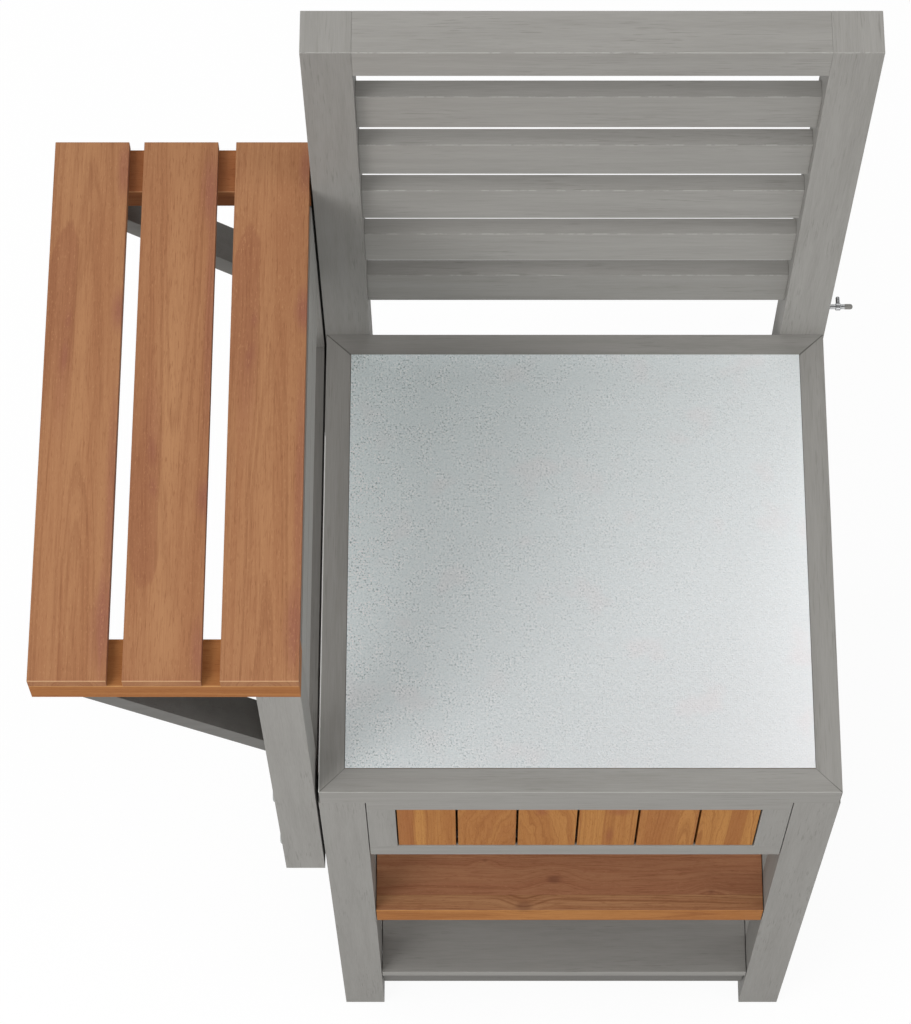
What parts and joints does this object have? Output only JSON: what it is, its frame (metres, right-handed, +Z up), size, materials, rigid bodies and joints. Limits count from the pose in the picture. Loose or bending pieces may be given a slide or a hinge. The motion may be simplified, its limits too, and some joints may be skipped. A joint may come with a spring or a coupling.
{
  "type": "outdoor prep table",
  "caption": "Outdoor prep table with a galvanised worktop, a drawer with a boarded front, open shelves, a slatted back screen and a raised slatted shelf bolted on its left side.",
  "frame": {"origin": "middle of the whole object's footprint box, on the floor", "axes": "+Z up, the drawer and open front face -Y, the raised side shelf is on the -X side"},
  "size_m": [0.8732, 0.604, 1.533],
  "materials": {
    "grey_paint": "satin grey paint on wood, faint grain",
    "teak": "oiled teak, fine grain",
    "plain_wood": "plain unfinished wood",
    "galvanised_sheet": "galvanised sheet with a fine spangle",
    "polished_steel": "polished steel",
    "grey_plastic": "moulded cap",
    "zinc_bolt": "zinc plated",
    "black_rubber": "matt black"
  },
  "bodies": {
    "table": {"back_apron": "grey_paint", "brace_front": "grey_paint", "brace_rear": "grey_paint", "drawer_runner_left": "plain_wood", "drawer_runner_right": "plain_wood", "front_leg_left": "grey_paint", "front_leg_right": "grey_paint", "hook_arm": "polished_steel", "hook_cap": "grey_plastic", "hook_peg": "polished_steel", "lower_bearer_left": "grey_paint", "lower_bearer_right": "grey_paint", "lower_shelf_board": "grey_paint", "lower_shelf_rail": "grey_paint", "mid_bearer_left": "grey_paint", "mid_bearer_right": "grey_paint", "mid_shelf_board": "teak", "mid_shelf_front_rail": "teak", "mounting_bolts": "zinc_bolt", "mounting_spacers": "black_rubber", "rear_post_left": "grey_paint", "rear_post_right": "grey_paint", "screen_slat_1": "grey_paint", "screen_slat_2": "grey_paint", "screen_slat_3": "grey_paint", "screen_slat_4": "grey_paint", "screen_slat_5": "grey_paint", "screen_top_rail": "grey_paint", "shelf_batten_front": "teak", "shelf_batten_rear": "teak", "shelf_slat_1": "teak", "shelf_slat_2": "teak", "shelf_slat_3": "teak", "side_apron_left": "grey_paint", "side_apron_right": "grey_paint", "side_post_front": "grey_paint", "side_post_rear": "grey_paint", "side_rail_lower": "grey_paint", "side_rail_middle": "grey_paint", "side_rail_upper": "grey_paint", "top_rail_back": "grey_paint", "top_rail_front": "grey_paint", "top_rail_left": "grey_paint", "top_rail_right": "grey_paint", "worktop_board": "plain_wood", "worktop_sheet": "galvanised_sheet"},
    "drawer": {"drawer_back": "plain_wood", "drawer_bottom": "plain_wood", "drawer_bottom_rail": "grey_paint", "drawer_side_left": "plain_wood", "drawer_side_right": "plain_wood", "drawer_stile_left": "grey_paint", "drawer_stile_right": "grey_paint", "drawer_top_rail": "grey_paint", "front_board_1": "teak", "front_board_2": "teak", "front_board_3": "teak", "front_board_4": "teak", "front_board_5": "teak", "front_board_6": "teak"}
  },
  "joints": [
    {"name": "drawer_slide", "type": "slide", "parent": "table", "child": "drawer", "axis": [0, -1, 0], "range_m": [0, 0.35]}
  ]
}
